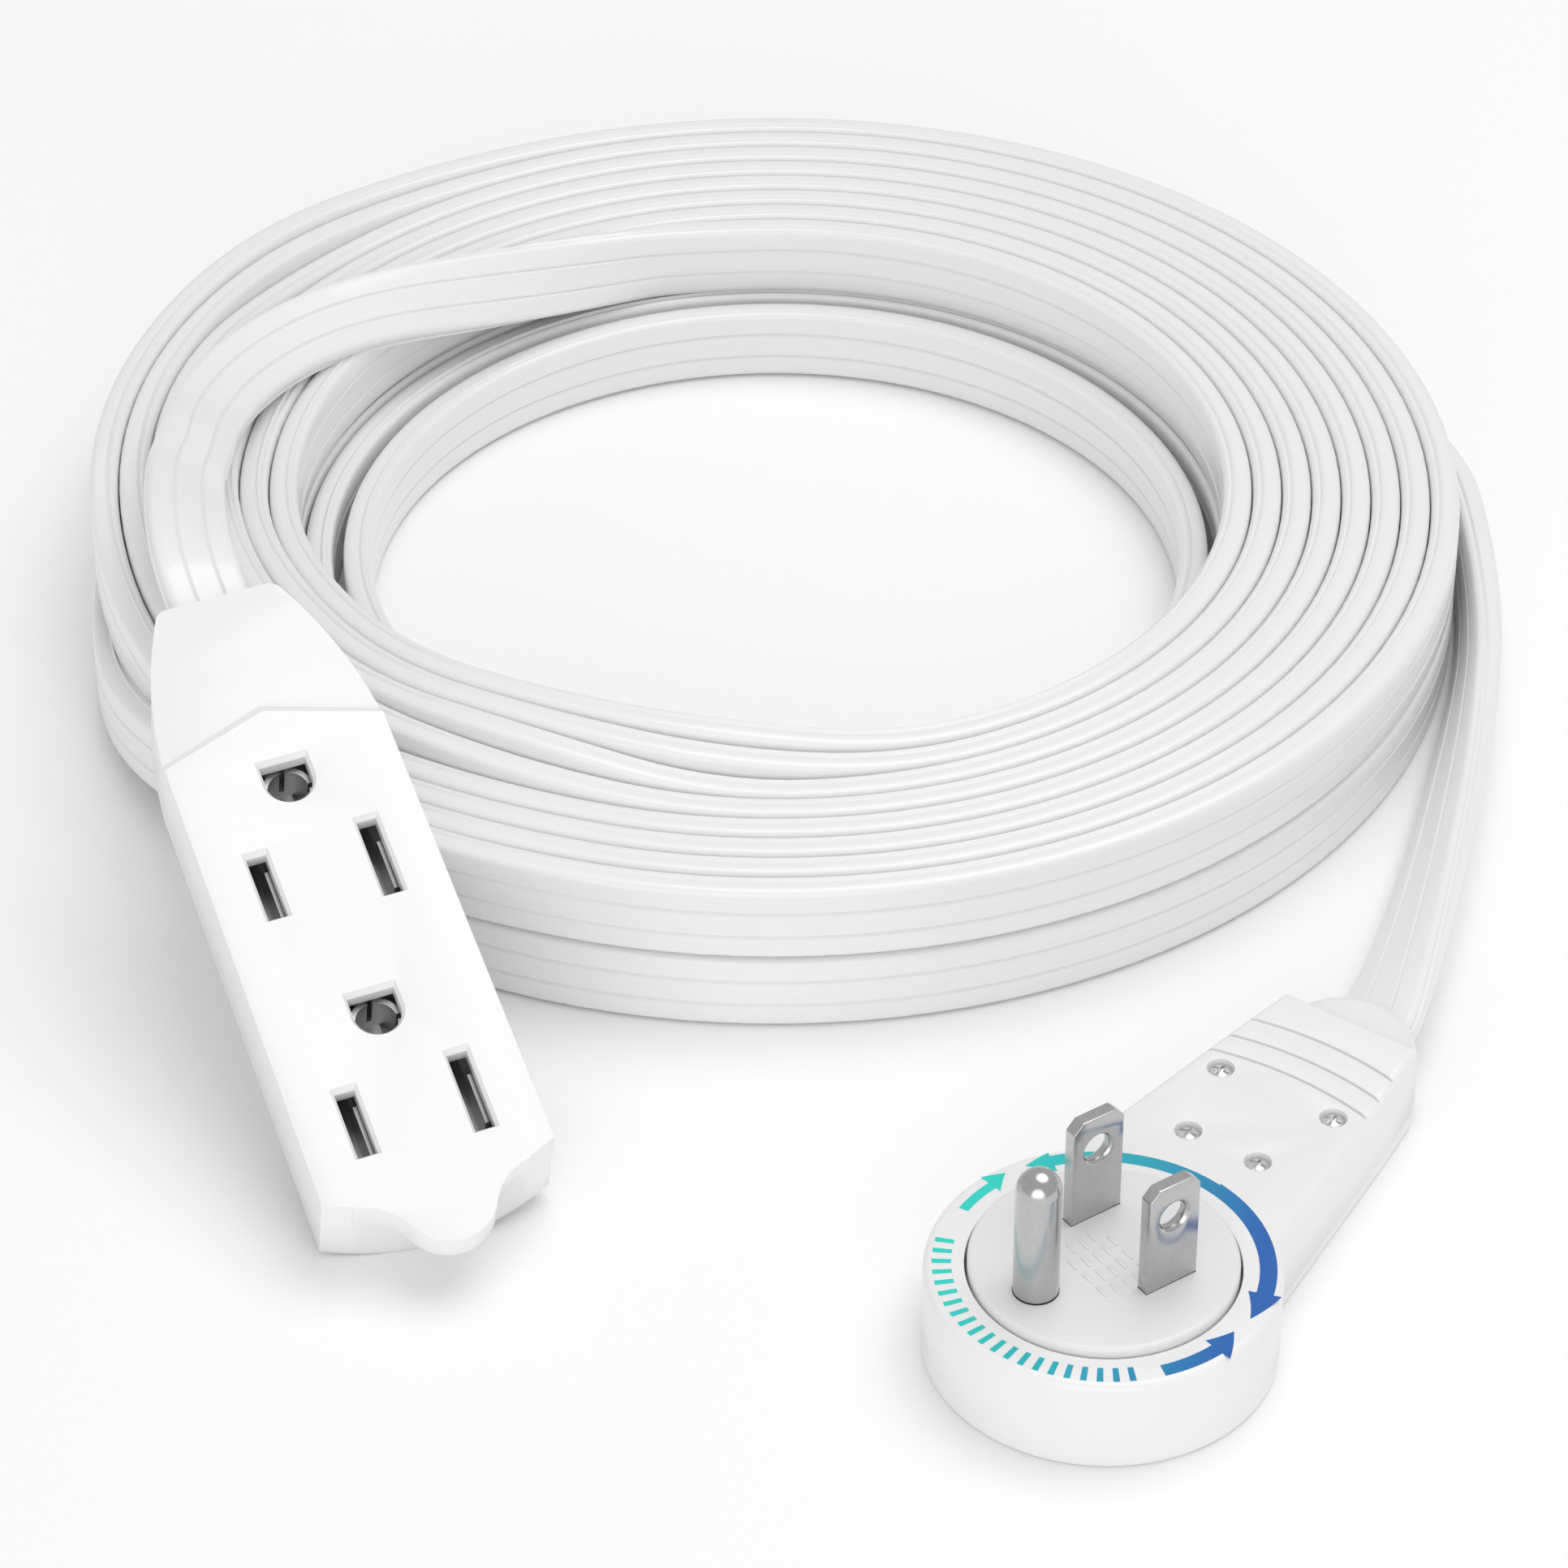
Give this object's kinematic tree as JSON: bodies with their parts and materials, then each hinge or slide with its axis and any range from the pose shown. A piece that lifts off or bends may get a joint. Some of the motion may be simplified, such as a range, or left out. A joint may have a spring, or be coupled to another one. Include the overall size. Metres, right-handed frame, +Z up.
{
  "type": "extension cord",
  "caption": "Coiled flat extension cord with a slim grounded outlet block on one end and a flat plug whose round face rotates on the other.",
  "frame": {"origin": "bottom centre of the outlet block's box, on the ground", "axes": "+Z up; +Y from the block's nose towards its cord end; +X across the block, towards the plug"},
  "size_m": [0.1657, 0.2316, 0.0384],
  "materials": {
    "housing": "satin gloss white",
    "rotor_face": "satin white",
    "grommet": "soft white",
    "cord_jacket": "glossy white vinyl",
    "carrier_grey": "matte",
    "contact_brass": "satin",
    "blade_nickel": "polished nickel",
    "screw_chrome": "polished",
    "screw_steel": "zinc",
    "wire_black": "matte",
    "wire_white": "matte",
    "wire_green": "matte"
  },
  "bodies": {
    "cord_set": {"outlet_cover": "housing", "outlet_base": "housing", "outlet_screws": "screw_steel", "contact_carrier": "carrier_grey", "outlet_bus_line": "contact_brass", "outlet_bus_neutral": "contact_brass", "outlet_bus_ground": "contact_brass", "outlet_cord_clamp": "carrier_grey", "outlet_wire_line": "wire_black", "outlet_wire_neutral": "wire_white", "outlet_wire_ground": "wire_green", "coil_lower": "cord_jacket", "coil_upper": "cord_jacket", "outlet_lead": "cord_jacket", "plug_lead": "cord_jacket", "plug_cover": "housing", "plug_base": "housing", "plug_screws": "screw_chrome", "plug_grommet": "grommet", "plug_cord_clamp": "carrier_grey", "brush_line": "contact_brass", "brush_neutral": "contact_brass", "brush_ground": "contact_brass", "plug_wire_line": "wire_black", "plug_wire_neutral": "wire_white", "plug_wire_ground": "wire_green"},
    "plug_rotor": {"rotor_face": "rotor_face", "rotor_carrier": "carrier_grey", "blade_line": "blade_nickel", "blade_neutral": "blade_nickel", "ground_pin": "blade_nickel", "slip_ring_line": "contact_brass", "slip_ring_neutral": "contact_brass", "slip_ring_ground": "contact_brass"}
  },
  "joints": [
    {"name": "plug_face_spin", "type": "hinge", "parent": "cord_set", "child": "plug_rotor", "pos_m": [0.07965, -0.04608, 0.0121], "axis": [0, 0, 1], "continuous": true}
  ]
}
